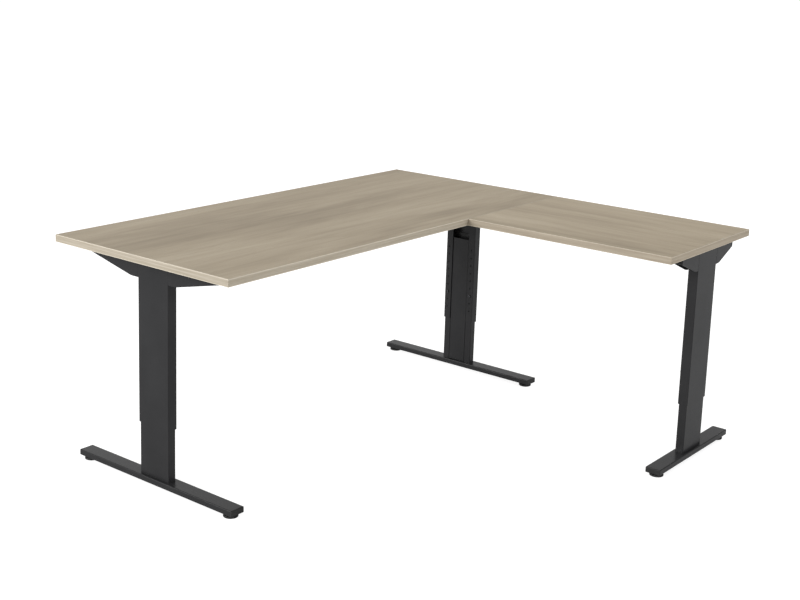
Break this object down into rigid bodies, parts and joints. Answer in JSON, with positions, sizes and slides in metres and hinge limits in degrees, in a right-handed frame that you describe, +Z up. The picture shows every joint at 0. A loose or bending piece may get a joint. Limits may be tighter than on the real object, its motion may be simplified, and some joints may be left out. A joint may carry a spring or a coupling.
{
  "type": "height adjustable desk",
  "caption": "L-shaped desk: a rectangular top with a side return on black T-legs with telescopic lipped columns, bolted at stepped heights.",
  "frame": {"origin": "on the floor, at the centre of the desk's outline seen from above", "axes": "+Z up; +X along the main top, towards the return; the user sits on the -Y side of the main top"},
  "size_m": [1.8, 1.6, 0.775],
  "materials": {
    "decor_board": "satin grey-beige oak melamine decor",
    "decor_edge_band": "matt, oak decor",
    "black_powder_coat": "fine-textured matt black powder coat",
    "black_plastic": "matt moulded",
    "black_bolt_steel": "satin black",
    "zinc_plated_steel": "bright zinc"
  },
  "bodies": {
    "lower_legs": {"left_foot": "black_powder_coat", "left_foot_caps": "black_plastic", "left_column_base": "zinc_plated_steel", "left_lower_column": "black_powder_coat", "left_cover_panel": "black_powder_coat", "left_guide_collar": "black_plastic", "corner_foot": "black_powder_coat", "corner_foot_caps": "black_plastic", "corner_column_base": "zinc_plated_steel", "corner_lower_column": "black_powder_coat", "corner_cover_panel": "black_powder_coat", "corner_guide_collar": "black_plastic", "return_foot": "black_powder_coat", "return_foot_caps": "black_plastic", "return_column_base": "zinc_plated_steel", "return_lower_column": "black_powder_coat", "return_cover_panel": "black_powder_coat", "return_guide_collar": "black_plastic", "base_bolts": "zinc_plated_steel", "lock_nuts": "zinc_plated_steel", "glide_inserts": "black_plastic"},
    "tabletop": {"left_upper_column": "black_powder_coat", "left_top_bracket": "black_powder_coat", "corner_upper_column": "black_powder_coat", "corner_top_bracket": "black_powder_coat", "return_upper_column": "black_powder_coat", "return_top_bracket": "black_powder_coat", "main_top": "decor_board", "return_top": "decor_board", "main_edge_band": "decor_edge_band", "return_edge_band": "decor_edge_band", "main_crossbeam": "black_powder_coat", "return_crossbeam": "black_powder_coat", "coupling_plates": "black_powder_coat", "beam_bolts": "black_bolt_steel", "beam_nuts": "zinc_plated_steel", "bracket_screws": "zinc_plated_steel", "coupling_screws": "zinc_plated_steel"},
    "left_glide_front": {"left_glide_front_pad": "black_plastic", "left_glide_front_stud": "zinc_plated_steel"},
    "left_glide_rear": {"left_glide_rear_pad": "black_plastic", "left_glide_rear_stud": "zinc_plated_steel"},
    "corner_glide_front": {"corner_glide_front_pad": "black_plastic", "corner_glide_front_stud": "zinc_plated_steel"},
    "corner_glide_rear": {"corner_glide_rear_pad": "black_plastic", "corner_glide_rear_stud": "zinc_plated_steel"},
    "return_glide_left": {"return_glide_left_pad": "black_plastic", "return_glide_left_stud": "zinc_plated_steel"},
    "return_glide_right": {"return_glide_right_pad": "black_plastic", "return_glide_right_stud": "zinc_plated_steel"},
    "left_lock_bolt_front_body": {"left_lock_bolt_front": "black_bolt_steel"},
    "left_lock_bolt_rear_body": {"left_lock_bolt_rear": "black_bolt_steel"},
    "corner_lock_bolt_front_body": {"corner_lock_bolt_front": "black_bolt_steel"},
    "corner_lock_bolt_rear_body": {"corner_lock_bolt_rear": "black_bolt_steel"},
    "return_lock_bolt_left_body": {"return_lock_bolt_left": "black_bolt_steel"},
    "return_lock_bolt_right_body": {"return_lock_bolt_right": "black_bolt_steel"}
  },
  "joints": [
    {"name": "height_lift", "type": "slide", "parent": "lower_legs", "child": "tabletop", "axis": [0, 0, 1], "range_m": [-0.128, 0.064]},
    {"name": "left_glide_front_screw", "type": "slide", "parent": "lower_legs", "child": "left_glide_front", "axis": [0, 0, -1], "range_m": [0, 0.01]},
    {"name": "left_glide_rear_screw", "type": "slide", "parent": "lower_legs", "child": "left_glide_rear", "axis": [0, 0, -1], "range_m": [0, 0.01]},
    {"name": "corner_glide_front_screw", "type": "slide", "parent": "lower_legs", "child": "corner_glide_front", "axis": [0, 0, -1], "range_m": [0, 0.01]},
    {"name": "corner_glide_rear_screw", "type": "slide", "parent": "lower_legs", "child": "corner_glide_rear", "axis": [0, 0, -1], "range_m": [0, 0.01]},
    {"name": "return_glide_left_screw", "type": "slide", "parent": "lower_legs", "child": "return_glide_left", "axis": [0, 0, -1], "range_m": [0, 0.01]},
    {"name": "return_glide_right_screw", "type": "slide", "parent": "lower_legs", "child": "return_glide_right", "axis": [0, 0, -1], "range_m": [0, 0.01]},
    {"name": "left_lock_bolt_front_unscrew", "type": "slide", "parent": "lower_legs", "child": "left_lock_bolt_front_body", "axis": [1, 0, 0], "range_m": [0, 0.016]},
    {"name": "left_lock_bolt_rear_unscrew", "type": "slide", "parent": "lower_legs", "child": "left_lock_bolt_rear_body", "axis": [1, 0, 0], "range_m": [0, 0.016]},
    {"name": "corner_lock_bolt_front_unscrew", "type": "slide", "parent": "lower_legs", "child": "corner_lock_bolt_front_body", "axis": [-1, 0, 0], "range_m": [0, 0.016]},
    {"name": "corner_lock_bolt_rear_unscrew", "type": "slide", "parent": "lower_legs", "child": "corner_lock_bolt_rear_body", "axis": [-1, 0, 0], "range_m": [0, 0.016]},
    {"name": "return_lock_bolt_left_unscrew", "type": "slide", "parent": "lower_legs", "child": "return_lock_bolt_left_body", "axis": [0, 1, 0], "range_m": [0, 0.016]},
    {"name": "return_lock_bolt_right_unscrew", "type": "slide", "parent": "lower_legs", "child": "return_lock_bolt_right_body", "axis": [0, 1, 0], "range_m": [0, 0.016]}
  ]
}
